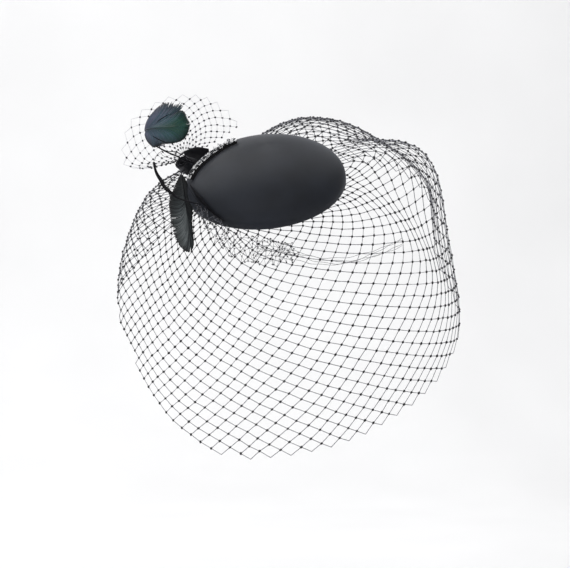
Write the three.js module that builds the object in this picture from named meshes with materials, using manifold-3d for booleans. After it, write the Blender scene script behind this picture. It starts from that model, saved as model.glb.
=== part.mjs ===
// Cocktail hat: a small satin cap with a beaded braid, a rosette, feathers,
// a second fan of net and a gathered net veil, in the shape it has when worn.
// Millimetres, +Z up, front towards -Y. The origin is the middle of the cap's mouth.
// The hat tips towards its right front, between -X and -Y. Everything is laid out in a
// frame turned to that side: +X along the cap's long side, -Y the side it tips to, +Z up.
import * as THREE from 'three';
import { mergeVertices } from 'three/addons/utils/BufferGeometryUtils.js';
import Module from 'manifold-3d';

const wasm = await Module();
wasm.setup();

const rad = THREE.MathUtils.degToRad;
const v3 = (x, y, z) => new THREE.Vector3(x, y, z);

// Worn position
const turnToSide = -30;          // degrees about +Z, from the front to the tipped side
const capTip = 43;               // degrees that the cap leans
const capRoll = -6;              // degrees that its long side rises

// Cap
const capHalfLength = 78;
const capHalfWidth = 64.5;
const capHeight = 34;
const capWall = 2.5;
const capEdge = 5;               // straight side above the mouth
const crownPower = 2.3;          // 2 is an ellipsoid, more is a fuller shoulder
const capSteps = 48;
const crownSteps = 10;

// Braid beside the rear edge, by turn round the cap and place on the crown (1 is the edge)
const braidWidth = 7.6;
const braidThickness = 3;
const braidStand = 2.6;          // of its middle above the crown
const braidTilt = 25;            // degrees that its outer side is raised off the crown
const braidSides = 8;
const braidSteps = 20;
const braidRoute = [
  { turn: 182, out: 0.905 },
  { turn: 172, out: 0.825 },
  { turn: 161, out: 0.738 },
  { turn: 147, out: 0.675 },
  { turn: 131, out: 0.65 },
  { turn: 119, out: 0.635 },
];

// Veil net and the loop of its hem round an upright middle line
const netThickness = 1.2;
const netDrop = 3;               // how far under the cap's mouth the net leaves
const netClear = 2;              // how far outside the mouth it does
const middleLine = { x: 20, y: 55 };
const hemTuck = 0.07;
const gatherRing = { x: -34, halfLength: 36, halfWidth: 30, drop: 4 };
const veilColumns = 56;
const veilRows = 16;
// bearing round the middle line from the tipped side, reach and height of the hem, turn where
// the net leaves the cap, how it lifts there, its run outwards and its straight fall to the hem
const veilFolds = [
  { bearing: -14, reach: 137, height: -252, turn: 235, lift: -0.4, run: 50, fall: 80 },
  { bearing: 15, reach: 140, height: -242, turn: 262, lift: -0.1, run: 65, fall: 80 },
  { bearing: 39, reach: 151, height: -218, turn: 295, lift: 0, run: 80, fall: 75 },
  { bearing: 61, reach: 166, height: -181, turn: 325, lift: 0.05, run: 91, fall: 73 },
  { bearing: 82, reach: 173, height: -129, turn: 350, lift: 0.15, run: 64, fall: 46 },
  { bearing: 101, reach: 157, height: -65, turn: 377, lift: 0.23, run: 123, fall: 66 },
  { bearing: 117, reach: 164, height: 4, turn: 404, lift: 0.06, run: 67, fall: 29 },
  { bearing: 137, reach: 147, height: 36, turn: 428, lift: 0.23, run: 74, fall: 31 },
  { bearing: 165, reach: 125, height: 40, turn: 450, lift: 0.34, run: 31, fall: 56 },
  { bearing: 201, reach: 120, height: 10, turn: 474, lift: -0.2, run: 11, fall: 28 },
  { bearing: 232, reach: 136, height: -30, turn: 498, lift: -0.16, run: 34, fall: 43 },
  { bearing: 254, reach: 158, height: -75, turn: 518, lift: -0.09, run: 55, fall: 53 },
  { bearing: 273, reach: 169, height: -111, turn: 536, lift: -0.17, run: 43, fall: 44 },
  { bearing: 294, reach: 157, height: -174, turn: 554, lift: -0.5, run: 35, fall: 60 },
  { bearing: 319, reach: 151, height: -237, turn: 573, lift: -0.55, run: 40, fall: 75 },
];

// Second fan of net behind the rosette: edge points from the left end over the top
const fanBase = { x: -80, y: 39, z: 30 };
const fanRoot = 7;               // how far the gathered net stands round the base
const fanCup = 10;
const fanColumns = 24;
const fanRows = 6;
const fanEdge = [
  { x: -116, y: 25, z: 19 },
  { x: -142, y: 33, z: 24 },
  { x: -139, y: 48, z: 64 },
  { x: -113, y: 56, z: 88 },
  { x: -78, y: 64, z: 97 },
  { x: -50, y: 66, z: 89 },
  { x: -27, y: 60, z: 66 },
];

// Rosette
const coil = { x: -80.5, y: 19, z: 22, radius: 8, core: 2.2, height: 12 };
const coilAxis = { x: -0.45, y: -0.75, z: 0.48 };
const coilSteps = 24;
const petal = { x: -65, y: 51, rise: 8.6, length: 25, height: 15, depth: 6.6, wall: 1.6 };
const petalPinch = 0.35;         // how much narrower the fold is at its two ends
const petalSteps = 20;

// Feathers: points down the quill with the barbs' length to each side of it
const vaneThickness = 1;
const quillRadius = 0.9;
const quillSides = 8;
const curledCup = 3;
const hangingCup = 2;
const curlCup = 0.4;
const curledStem = [
  { x: -70, y: 5, z: 21 },
  { x: -78, y: 8, z: 27 },
  { x: -87, y: 9, z: 31 },
  { x: -96, y: 9, z: 34 },
  { x: -108, y: 10, z: 39.5 },
];
const curledVane = [
  { x: -107, y: 11, z: 39, over: 5, under: 4 },
  { x: -114, y: 17, z: 46, over: 14, under: 8 },
  { x: -119, y: 15, z: 54, over: 20, under: 10 },
  { x: -114, y: 5, z: 57, over: 24, under: 14 },
  { x: -103, y: -2, z: 57.5, over: 24, under: 17 },
  { x: -91, y: -3, z: 58.5, over: 17, under: 18 },
  { x: -81, y: -1, z: 60, over: 10, under: 13 },
  { x: -74, y: 3, z: 61, over: 1.5, under: 2 },
];
const hangingStem = [
  { x: -79, y: 6, z: 16 },
  { x: -84, y: -3, z: 9 },
  { x: -84.5, y: -9, z: 2 },
];
const hangingVane = [
  { x: -84, y: -7, z: 5, over: 3, under: 3 },
  { x: -85, y: -16, z: -9, over: 8, under: 9 },
  { x: -84, y: -24, z: -26, over: 10, under: 11 },
  { x: -81, y: -30, z: -43, over: 10, under: 11 },
  { x: -77, y: -34, z: -56, over: 7, under: 8 },
  { x: -74, y: -36, z: -64, over: 1.5, under: 2 },
];
const curlQuill = [
  { x: -109, y: -4, z: 23, over: 0.8, under: 0.8 },
  { x: -107, y: -8, z: 15, over: 1, under: 1 },
  { x: -100, y: -17, z: 3, over: 2.4, under: 1.4 },
  { x: -93, y: -26, z: -6, over: 1.8, under: 1.2 },
  { x: -85, y: -36, z: -12, over: 1.2, under: 1 },
  { x: -74, y: -44, z: -18, over: 0.9, under: 0.9 },
  { x: -64, y: -46, z: -20, over: 0.7, under: 0.7 },
];
const edgeQuill = [
  { turn: 189, out: 0.915, half: 0.8 },
  { turn: 198, out: 0.911, half: 1.4 },
  { turn: 208, out: 0.92, half: 2.3 },
  { turn: 217, out: 0.935, half: 1.9 },
  { turn: 227, out: 0.967, half: 1.3 },
  { turn: 238, out: 0.995, half: 0.7 },
];
const edgeQuillStand = 2;
const edgeQuillSteps = 20;

// Hidden comb under the far side of the cap
const comb = { width: 46, spine: 5, teeth: 11, length: 30, thickness: 1.6, y: 53, z: 4 };

const capFrame = new THREE.Matrix4().makeRotationFromEuler(
  new THREE.Euler(rad(capTip), rad(capRoll), 0, 'YXZ'));

const colours = {
  satin: { color: 0x2b2d32, roughness: 0.55, metalness: 0 },
  beads: { color: 0x2c2d30, roughness: 0.25, metalness: 0.3 },
  rosette: { color: 0x1c1c1f, roughness: 0.5, metalness: 0 },
  net: { color: 0x1a1a1d, roughness: 0.7, metalness: 0 },
  iridescent: { color: 0x2f4a4e, roughness: 0.4, metalness: 0 },
  down: { color: 0x43494b, roughness: 0.7, metalness: 0 },
  quill: { color: 0x1f1f26, roughness: 0.45, metalness: 0 },
  comb: { color: 0x17171a, roughness: 0.35, metalness: 0 },
};

const piece = (name, geometry, finish) => {
  const mesh = new THREE.Mesh(geometry, new THREE.MeshStandardMaterial(colours[finish]));
  mesh.name = name;
  return mesh;
};

// Closed surface through a grid of points and a second grid behind it.
// A wrapped grid joins its last column to its first.
function shell(front, back, wrapped) {
  const rows = front.length;
  const columns = front[0].length;
  const points = [...front.flat(), ...back.flat()];
  const at = (side, row, column) => (side * rows + row) * columns + (column % columns);
  const index = [];
  const quad = (a, b, c, d) => index.push(a, b, c, a, c, d);
  const spans = wrapped ? columns : columns - 1;
  for (let row = 0; row < rows - 1; row += 1) {
    for (let column = 0; column < spans; column += 1) {
      const next = column + 1;
      quad(at(0, row, column), at(0, row, next), at(0, row + 1, next), at(0, row + 1, column));
      quad(at(1, row, column), at(1, row + 1, column), at(1, row + 1, next), at(1, row, next));
    }
  }
  for (let column = 0; column < spans; column += 1) {
    const next = column + 1;
    const last = rows - 1;
    quad(at(0, 0, next), at(0, 0, column), at(1, 0, column), at(1, 0, next));
    quad(at(0, last, column), at(0, last, next), at(1, last, next), at(1, last, column));
  }
  if (!wrapped) {
    for (let row = 0; row < rows - 1; row += 1) {
      const end = columns - 1;
      quad(at(0, row, 0), at(0, row + 1, 0), at(1, row + 1, 0), at(1, row, 0));
      quad(at(0, row + 1, end), at(0, row, end), at(1, row, end), at(1, row + 1, end));
    }
  }
  const geometry = new THREE.BufferGeometry();
  geometry.setAttribute('position', new THREE.Float32BufferAttribute(points.flatMap((p) => [...p]), 3));
  geometry.setIndex(index);
  return facingOut(geometry);
}

function volume(geometry) {
  const place = geometry.attributes.position;
  const order = geometry.index.array;
  const [a, b, c] = [v3(), v3(), v3()];
  let sum = 0;
  for (let i = 0; i < order.length; i += 3) {
    a.fromBufferAttribute(place, order[i]);
    b.fromBufferAttribute(place, order[i + 1]);
    c.fromBufferAttribute(place, order[i + 2]);
    sum += a.dot(b.cross(c)) / 6;
  }
  return sum;
}

function facingOut(geometry) {
  if (volume(geometry) < 0) {
    geometry.setIndex([...geometry.index.array].reverse());
  }
  geometry.computeVertexNormals();
  return geometry;
}

// Normal of a grid of points at each of its points
function gridNormals(grid, wrapped) {
  const rows = grid.length;
  const columns = grid[0].length;
  const column = (j) => (wrapped ? (j + columns) % columns : THREE.MathUtils.clamp(j, 0, columns - 1));
  const row = (i) => THREE.MathUtils.clamp(i, 0, rows - 1);
  return grid.map((line, i) => line.map((_, j) => {
    const across = grid[i][column(j + 1)].clone().sub(grid[i][column(j - 1)]);
    const along = grid[row(i + 1)][j].clone().sub(grid[row(i - 1)][j]);
    return across.cross(along).normalize();
  }));
}

function thickened(grid, thickness, wrapped) {
  const normals = gridNormals(grid, wrapped);
  const moved = (amount) => grid.map((line, i) => line.map((p, j) =>
    p.clone().addScaledVector(normals[i][j], amount)));
  return shell(moved(thickness / 2), moved(-thickness / 2), wrapped);
}

// Cap's crown: turn in degrees round the mouth, out from 0 at the top to 1 at the edge
function crownPoint(turn, out) {
  const angle = rad(turn);
  const rise = (capHeight - capEdge) * Math.sqrt(Math.max(0, 1 - out ** crownPower));
  return v3(capHalfLength * out * Math.cos(angle), capHalfWidth * out * Math.sin(angle), capEdge + rise);
}

function crownNormal(turn, out) {
  const step = 0.01;
  const inner = Math.min(out, 1 - step);
  const along = crownPoint(turn, inner + step).sub(crownPoint(turn, inner - step));
  const round = crownPoint(turn + 1, inner).sub(crownPoint(turn - 1, inner));
  return along.cross(round).normalize();
}

function mouthOutward(turn) {
  return v3(capHalfWidth * Math.cos(rad(turn)), capHalfLength * Math.sin(rad(turn)), 0).normalize();
}

function capShell() {
  const outer = [];
  const inner = [];
  for (let step = 0; step <= crownSteps; step += 1) {
    const out = Math.sin((step / crownSteps) * Math.PI / 2);
    const rise = capEdge + (capHeight - capEdge) * Math.sqrt(Math.max(0, 1 - out ** crownPower));
    outer.push(new THREE.Vector2(out, rise));
    const share = 1 - capWall / capHalfWidth;
    inner.unshift(new THREE.Vector2(out * share, Math.max(capEdge / 2, rise - capWall)));
  }
  outer[0].x = 0;
  inner[inner.length - 1].x = 0;
  const mouth = new THREE.Vector2(1, 0);
  const inside = new THREE.Vector2(1 - capWall / capHalfWidth, 0);
  const geometry = new THREE.LatheGeometry([...outer, mouth, inside, ...inner], capSteps);
  geometry.rotateX(Math.PI / 2);
  geometry.scale(capHalfLength, capHalfWidth, 1);
  return solid(geometry);
}

// Plain closed mesh of a three.js geometry: shared corners and no empty triangles
function solid(geometry) {
  geometry.deleteAttribute('normal');
  geometry.deleteAttribute('uv');
  const merged = mergeVertices(geometry, 1e-4);
  const order = merged.index.array;
  const kept = [];
  for (let i = 0; i < order.length; i += 3) {
    const [a, b, c] = order.slice(i, i + 3);
    if (a !== b && b !== c && c !== a) {
      kept.push(a, b, c);
    }
  }
  merged.setIndex(kept);
  return facingOut(merged);
}

function tube(points, section) {
  const path = new THREE.CatmullRomCurve3(points);
  const steps = (points.length - 1) * 3;
  return solid(new THREE.ExtrudeGeometry(section, { steps, extrudePath: path }));
}

function round(radius, sides) {
  const turn = (i) => (i / sides) * Math.PI * 2;
  const corners = Array.from({ length: sides }, (_, i) =>
    new THREE.Vector2(radius * Math.cos(turn(i)), radius * Math.sin(turn(i))));
  return new THREE.Shape(corners);
}

function joined(first, second) {
  const wrap = (geometry) => new wasm.Manifold(new wasm.Mesh({
    numProp: 3,
    vertProperties: new Float32Array(geometry.attributes.position.array),
    triVerts: new Uint32Array(geometry.index.array),
  }));
  const mesh = wrap(first).add(wrap(second)).getMesh();
  const geometry = new THREE.BufferGeometry();
  geometry.setAttribute('position', new THREE.BufferAttribute(mesh.vertProperties, 3));
  geometry.setIndex(new THREE.BufferAttribute(mesh.triVerts, 1));
  return facingOut(geometry);
}

// Braid: a flattened band laid along the crown's edge
function braid() {
  const path = new THREE.CatmullRomCurve3(braidRoute.map((row) => v3(row.turn, row.out, 0)));
  const halfWidth = braidWidth / 2;
  const halfThickness = braidThickness / 2;
  const grid = [];
  for (let step = 0; step <= braidSteps; step += 1) {
    const at = path.getPoint(step / braidSteps);
    const ahead = crownPoint(at.x - 1, at.y).sub(crownPoint(at.x + 1, at.y)).normalize();
    const up = crownNormal(at.x, at.y);
    const middle = crownPoint(at.x, at.y).addScaledVector(up, braidStand);
    up.applyAxisAngle(ahead, rad(braidTilt));
    const side = ahead.clone().cross(up).normalize();
    const line = [];
    for (let i = 0; i < braidSides; i += 1) {
      const angle = (i / braidSides) * Math.PI * 2;
      line.push(middle.clone()
        .addScaledVector(side, halfWidth * Math.cos(angle))
        .addScaledVector(up, halfThickness * Math.sin(angle)));
    }
    grid.push(line);
  }
  return capped(grid);
}

// Closed body through rings of points, with a flat end at each side
function capped(rings) {
  const sides = rings[0].length;
  const middle = (ring) => ring.reduce((sum, p) => sum.add(p), v3(0, 0, 0)).divideScalar(sides);
  const points = [...rings.flat(), middle(rings[0]), middle(rings[rings.length - 1])];
  const index = [];
  const last = (rings.length - 1) * sides;
  for (let row = 0; row < rings.length - 1; row += 1) {
    for (let i = 0; i < sides; i += 1) {
      const a = row * sides + i;
      const b = row * sides + ((i + 1) % sides);
      index.push(a, b, b + sides, a, b + sides, a + sides);
    }
  }
  for (let i = 0; i < sides; i += 1) {
    const next = (i + 1) % sides;
    index.push(points.length - 2, next, i, points.length - 1, last + i, last + next);
  }
  const geometry = new THREE.BufferGeometry();
  geometry.setAttribute('position', new THREE.Float32BufferAttribute(points.flatMap((p) => [...p]), 3));
  geometry.setIndex(index);
  return facingOut(geometry);
}

// Value of a column of the veil's table at share of the way round, smooth and closed
function veilValue(column, share, gain) {
  const count = veilFolds.length;
  const place = share * count;
  const first = Math.floor(place);
  const f = place - first;
  const value = (k) => veilFolds[((k % count) + count) % count][column] + gain * Math.floor(k / count);
  const [p0, p1, p2, p3] = [value(first - 1), value(first), value(first + 1), value(first + 2)];
  return 0.5 * (2 * p1 + (p2 - p0) * f + (2 * p0 - 5 * p1 + 4 * p2 - p3) * f ** 2
    + (3 * p1 - p0 - 3 * p2 + p3) * f ** 3);
}

// One line of the veil from the gathering under the cap out to the hem
function veilLine(share) {
  const get = (column, gain = 0) => veilValue(column, share, gain);
  const bearing = rad(get('bearing', 360));
  const turn = rad(get('turn', 360));
  const outward = v3(Math.sin(bearing), -Math.cos(bearing), 0);
  const hem = v3(middleLine.x, middleLine.y, get('height')).addScaledVector(outward, get('reach'));
  const gathered = v3(
    gatherRing.x + gatherRing.halfLength * Math.cos(turn),
    gatherRing.halfWidth * Math.sin(turn), -gatherRing.drop);
  const leaving = v3(
    (capHalfLength + netClear) * Math.cos(turn),
    (capHalfWidth + netClear) * Math.sin(turn), -netDrop);
  const away = mouthOutward(get('turn', 360)).setZ(get('lift'));
  const puff = leaving.clone().addScaledVector(away, get('run'));
  [gathered, leaving, puff].forEach((p) => p.applyMatrix4(capFrame));
  const above = hem.clone().add(v3(0, 0, get('fall'))).addScaledVector(outward, hemTuck * get('fall'));
  const path = new THREE.CurvePath();
  path.add(new THREE.LineCurve3(gathered, leaving));
  path.add(new THREE.CubicBezierCurve3(leaving, puff, above, hem));
  return path.getSpacedPoints(veilRows);
}

function veil() {
  const lines = [];
  for (let column = 0; column < veilColumns; column += 1) {
    lines.push(veilLine(column / veilColumns));
  }
  const grid = lines[0].map((_, row) => lines.map((line) => line[row]));
  return thickened(grid, netThickness, true);
}

// Fan of net: from a small gathered root out to a cupped edge
function fan() {
  const base = v3(fanBase.x, fanBase.y, fanBase.z);
  const edge = new THREE.CatmullRomCurve3(fanEdge.map((p) => v3(p.x, p.y, p.z)));
  const grid = [];
  for (let row = 0; row <= fanRows; row += 1) {
    const line = [];
    for (let column = 0; column <= fanColumns; column += 1) {
      const far = edge.getPoint(column / fanColumns);
      const root = base.clone().addScaledVector(far.clone().sub(base).normalize(), fanRoot);
      const share = row / fanRows;
      const point = root.lerp(far, share);
      point.y += fanCup * Math.sin(Math.PI * share);
      line.push(point);
    }
    grid.push(line);
  }
  return thickened(grid, netThickness, false);
}

// Feather's vane: barbs to both sides of the quill, cupped towards the front
function vane(rows, facing, cup) {
  const quill = new THREE.CatmullRomCurve3(rows.map((row) => v3(row.x, row.y, row.z)));
  const lengths = new THREE.CatmullRomCurve3(rows.map((row) => v3(row.over, row.under, 0)));
  const along = (rows.length - 1) * 3;
  const across = 4;
  const grid = [];
  for (let step = 0; step <= along; step += 1) {
    const middle = quill.getPoint(step / along);
    const ahead = quill.getTangent(step / along);
    const size = lengths.getPoint(step / along);
    const side = facing.clone().cross(ahead).normalize();
    const front = ahead.clone().cross(side).normalize();
    const line = [];
    for (let i = 0; i <= across; i += 1) {
      const share = (i / across) * 2 - 1;
      const reach = share < 0 ? share * size.y : share * size.x;
      line.push(middle.clone().addScaledVector(side, reach).addScaledVector(front, cup * share ** 2));
    }
    grid.push(line);
  }
  return thickened(grid, vaneThickness, false);
}

function feather(stem, rows, facing, cup) {
  const points = stem.map((p) => v3(p.x, p.y, p.z));
  return joined(tube(points, round(quillRadius, quillSides)), vane(rows, facing, cup));
}

// Narrow feather lying along the crown's edge
function edgeFeather() {
  const path = new THREE.CatmullRomCurve3(edgeQuill.map((row) => v3(row.turn, row.out, row.half)));
  const grid = [];
  for (let step = 0; step <= edgeQuillSteps; step += 1) {
    const at = path.getPoint(step / edgeQuillSteps);
    const out = Math.min(1, at.y);
    const up = crownNormal(at.x, out);
    const ahead = crownPoint(at.x + 1, out).sub(crownPoint(at.x - 1, out)).normalize();
    const side = up.clone().cross(ahead).normalize();
    const middle = crownPoint(at.x, out).addScaledVector(up, edgeQuillStand);
    grid.push([-1, 0, 1].map((share) => middle.clone().addScaledVector(side, share * at.z)));
  }
  return thickened(grid, vaneThickness, false);
}

// Rolled heart of the rosette: a ring with an open core
function rosetteCoil() {
  const half = coil.height / 2;
  const profile = [
    new THREE.Vector2(coil.core, -half),
    new THREE.Vector2(coil.radius * 0.8, -half),
    new THREE.Vector2(coil.radius, -half * 0.4),
    new THREE.Vector2(coil.radius, half * 0.5),
    new THREE.Vector2(coil.radius * 0.8, half),
    new THREE.Vector2(coil.core, half * 0.6),
    new THREE.Vector2(coil.core, -half),
  ];
  const geometry = new THREE.LatheGeometry(profile, coilSteps);
  const axis = v3(coilAxis.x, coilAxis.y, coilAxis.z).normalize();
  geometry.applyQuaternion(new THREE.Quaternion().setFromUnitVectors(v3(0, 1, 0), axis));
  geometry.translate(coil.x, coil.y, coil.z);
  return solid(geometry);
}

// Folded loop of ribbon behind the coil
function rosetteFold() {
  const outline = (inset) => {
    const halfLength = petal.length / 2 - inset;
    const halfDepth = petal.depth / 2 - inset;
    return Array.from({ length: petalSteps }, (_, i) => {
      const angle = (i / petalSteps) * Math.PI * 2;
      const pinch = 1 - petalPinch * Math.cos(angle) ** 2;
      return new THREE.Vector2(halfLength * Math.cos(angle), halfDepth * pinch * Math.sin(angle));
    });
  };
  const shape = new THREE.Shape(outline(0));
  shape.holes.push(new THREE.Path(outline(petal.wall).reverse()));
  const geometry = new THREE.ExtrudeGeometry(shape, { depth: petal.height, bevelEnabled: false });
  geometry.translate(0, 0, -petal.height / 2);
  return solid(geometry);
}

// Plain comb with straight teeth, sewn inside the far edge
function hairComb() {
  const halfWidth = comb.width / 2;
  const pitch = comb.width / (comb.teeth * 2 - 1);
  const tip = comb.spine - comb.length;
  const shape = new THREE.Shape();
  shape.moveTo(-halfWidth, comb.spine);
  for (let tooth = 0; tooth < comb.teeth; tooth += 1) {
    const left = -halfWidth + tooth * pitch * 2;
    if (tooth > 0) {
      shape.lineTo(left, 0);
    }
    shape.lineTo(left, tip);
    shape.lineTo(left + pitch, tip);
    if (tooth < comb.teeth - 1) {
      shape.lineTo(left + pitch, 0);
    }
  }
  shape.lineTo(halfWidth, comb.spine);
  const geometry = new THREE.ExtrudeGeometry(shape, { depth: comb.thickness, bevelEnabled: false });
  return solid(geometry);
}

const worn = new THREE.Group();
worn.rotation.z = rad(turnToSide);

const cap = new THREE.Group();
cap.applyMatrix4(capFrame);
cap.add(piece('hat_base', capShell(), 'satin'));
cap.add(piece('bead_braid', braid(), 'beads'));
cap.add(piece('edge_quill_feather', edgeFeather(), 'quill'));
const hiddenComb = piece('hair_comb', hairComb(), 'comb');
hiddenComb.position.set(0, comb.y, comb.z);
cap.add(hiddenComb);
const fold = piece('rosette_fold', rosetteFold(), 'rosette');
fold.position.set(petal.x, petal.y, petal.rise);
cap.add(fold);
worn.add(cap);

const towards = v3(0, -1, 0);
const curledFacing = v3(0, -0.9, -0.2);
worn.add(piece('birdcage_veil', veil(), 'net'));
worn.add(piece('veil_fan', fan(), 'net'));
worn.add(piece('rosette_coil', rosetteCoil(), 'rosette'));
worn.add(piece('curled_feather', feather(curledStem, curledVane, curledFacing, curledCup), 'iridescent'));
worn.add(piece('hanging_feather', feather(hangingStem, hangingVane, towards, hangingCup), 'down'));
worn.add(piece('curl_quill_feather', vane(curlQuill, towards, curlCup), 'quill'));

const group = new THREE.Group();
group.add(worn);
export default group;
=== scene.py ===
# Cocktail hat: oval satin cap, beaded braid, satin rosette, four feathers, a hidden comb,
# a gathered fan of net and a birdcage veil. Metres, +Z up, front towards -Y.
import math
import random

import bmesh
import bpy
from mathutils import Matrix, Vector


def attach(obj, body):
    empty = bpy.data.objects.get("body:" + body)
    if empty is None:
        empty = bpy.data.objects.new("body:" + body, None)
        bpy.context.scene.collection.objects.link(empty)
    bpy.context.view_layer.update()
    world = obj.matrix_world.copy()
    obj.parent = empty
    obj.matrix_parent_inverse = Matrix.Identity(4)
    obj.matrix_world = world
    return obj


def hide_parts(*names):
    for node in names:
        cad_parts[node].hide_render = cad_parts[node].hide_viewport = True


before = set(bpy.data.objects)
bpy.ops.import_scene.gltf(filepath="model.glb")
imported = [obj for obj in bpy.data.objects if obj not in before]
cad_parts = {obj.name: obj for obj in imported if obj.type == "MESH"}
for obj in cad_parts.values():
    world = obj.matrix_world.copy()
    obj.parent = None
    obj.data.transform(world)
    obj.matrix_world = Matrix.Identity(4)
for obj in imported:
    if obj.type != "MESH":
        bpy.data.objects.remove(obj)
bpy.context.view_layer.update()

mm = 0.001
tau = 2 * math.pi
up = Vector((0, 0, 1))

# The hat leans to its right front: everything is laid out in a frame turned to that side
worn = {"turn": -30, "tip": 43, "roll": -6}
sideFrame = Matrix.Rotation(math.radians(worn["turn"]), 4, "Z")
capFrame = (sideFrame @ Matrix.Rotation(math.radians(worn["roll"]), 4, "Y")
            @ Matrix.Rotation(math.radians(worn["tip"]), 4, "X"))
frontward = sideFrame.to_3x3() @ Vector((0, -1, 0))


def sidePoint(x, y, z):
    return sideFrame @ (Vector((x, y, z)) * mm)


def capPoint(x, y, z):
    return capFrame @ (Vector((x, y, z)) * mm)


def capDirection(x, y, z):
    return capFrame.to_3x3() @ Vector((x, y, z))


# Smooth curve through rows of numbers, at place 0 to len(rows) - 1; a closed one goes round
def smoothRow(rows, place, closed=False, gain=None):
    count = len(rows)
    first = math.floor(place) if closed else min(int(place), count - 2)
    f = place - first

    def row(k):
        if not closed:
            return rows[max(0, min(count - 1, k))]
        return [value + lap * (k // count) for value, lap in zip(rows[k % count], gain)]

    p0, p1, p2, p3 = row(first - 1), row(first), row(first + 1), row(first + 2)
    return [0.5 * (2 * b + (c - a) * f + (2 * a - 5 * b + 4 * c - d) * f * f
                   + (3 * b - a - 3 * c + d) * f ** 3)
            for a, b, c, d in zip(p0, p1, p2, p3)]


def smoothValue(values, place):
    return smoothRow([[value] for value in values], place)[0]


def deselectAll():
    if bpy.context.mode != "OBJECT":
        bpy.ops.object.mode_set(mode="OBJECT")
    bpy.ops.object.select_all(action="DESELECT")


def makeActive(piece):
    deselectAll()
    piece.select_set(True)
    bpy.context.view_layer.objects.active = piece


def applyModifier(piece, kind, **settings):
    makeActive(piece)
    modifier = piece.modifiers.new(kind, kind)
    for name, value in settings.items():
        setattr(modifier, name, value)
    bpy.ops.object.modifier_apply(modifier=modifier.name)


def smoothShade(piece, angle=None):
    makeActive(piece)
    if angle is None:
        bpy.ops.object.shade_smooth()
    else:
        bpy.ops.object.shade_smooth_by_angle(angle=math.radians(angle))


# Puts a finished piece in the frame that it was modelled in, with its object at the origin
def placeIn(piece, matrix):
    makeActive(piece)
    bpy.ops.object.transform_apply(location=True, rotation=True, scale=True)
    piece.data.transform(matrix)
    piece.data.update()


def faceOut(piece):
    mesh = bmesh.new()
    mesh.from_mesh(piece.data)
    bmesh.ops.remove_doubles(mesh, verts=mesh.verts, dist=1e-7)
    bmesh.ops.recalc_face_normals(mesh, faces=mesh.faces)
    mesh.to_mesh(piece.data)
    mesh.free()


def finishPiece(piece, material, slot, *nodes):
    piece.data.materials.clear()
    piece.data.materials.append(material)
    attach(piece, "root")
    if nodes:
        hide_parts(*nodes)
    return piece


# Materials

def hexColour(code):
    def channel(start):
        value = int(code[start:start + 2], 16) / 255
        return value / 12.92 if value <= 0.04045 else ((value + 0.055) / 1.055) ** 2.4
    return (channel(0), channel(2), channel(4), 1)


def addNode(tree, kind, inputs=None, links=None, **settings):
    node = tree.nodes.new(kind)
    for name, value in settings.items():
        setattr(node, name, value)
    for name, value in (inputs or {}).items():
        node.inputs[name].default_value = value
    for name, source in (links or {}).items():
        tree.links.new(source, node.inputs[name])
    return node


def newMaterial(name, **surface):
    material = bpy.data.materials.new(name)
    material.use_nodes = True
    tree = material.node_tree
    shader = tree.nodes["Principled BSDF"]
    for key, value in surface.items():
        shader.inputs[key].default_value = value
    return material, tree, shader


def setRamp(node, stops):
    ramp = node.color_ramp
    while len(ramp.elements) < len(stops):
        ramp.elements.new(0.5)
    for element, (place, code) in zip(ramp.elements, stops):
        element.position = place
        element.color = hexColour(code)


# Colours a surface by noise at its own place, and returns the noise
def speckle(tree, shader, stops, **noise):
    place = addNode(tree, "ShaderNodeTexCoord")
    cloud = addNode(tree, "ShaderNodeTexNoise", noise, {"Vector": place.outputs["Object"]})
    ramp = addNode(tree, "ShaderNodeValToRGB", links={"Fac": cloud.outputs["Fac"]})
    setRamp(ramp, stops)
    tree.links.new(ramp.outputs["Color"], shader.inputs["Base Color"])
    return cloud


def raiseGrain(tree, shader, height, strength, deepMm):
    bump = addNode(tree, "ShaderNodeBump", {"Strength": strength, "Distance": deepMm * mm},
                   {"Height": height})
    tree.links.new(bump.outputs["Normal"], shader.inputs["Normal"])


# Woven polyester satin over buckram: floats along the cap catch a broad soft sheen
def satinMaterial(name, dark, light, threadsMm, sheen):
    material, tree, shader = newMaterial(name, **{
        "Roughness": 0.5, "Specular IOR Level": 0.22, "Sheen Weight": sheen,
        "Sheen Roughness": 0.45, "Sheen Tint": hexColour("c4c9d6"), "Anisotropic": 0.35})
    place = addNode(tree, "ShaderNodeTexCoord")
    turned = addNode(tree, "ShaderNodeMapping", links={"Vector": place.outputs["Object"]})
    turned.inputs["Rotation"].default_value = capFrame.to_euler()
    cloud = addNode(tree, "ShaderNodeTexNoise", {"Scale": 22.0, "Detail": 3.0, "Roughness": 0.5},
                    {"Vector": turned.outputs["Vector"]})
    ramp = addNode(tree, "ShaderNodeValToRGB", links={"Fac": cloud.outputs["Fac"]})
    setRamp(ramp, ((0.35, dark), (0.68, light)))
    tree.links.new(ramp.outputs["Color"], shader.inputs["Base Color"])
    # the real floats are 0.15 mm apart, drawn coarser so that they show
    waves = 1 / (threadsMm * mm) / 20
    floats = addNode(tree, "ShaderNodeTexWave",
                     {"Scale": waves * tau, "Distortion": 1.2, "Detail": 1.0, "Detail Scale": 2.0},
                     {"Vector": turned.outputs["Vector"]}, bands_direction="Y")
    grain = addNode(tree, "ShaderNodeTexNoise", {"Scale": 1 / (threadsMm * mm), "Detail": 2.0},
                    {"Vector": turned.outputs["Vector"]})
    both = addNode(tree, "ShaderNodeMath", operation="ADD",
                   links={0: floats.outputs["Fac"], 1: grain.outputs["Fac"]})
    raiseGrain(tree, shader, both.outputs["Value"], 0.12, 0.2)
    return material


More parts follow.
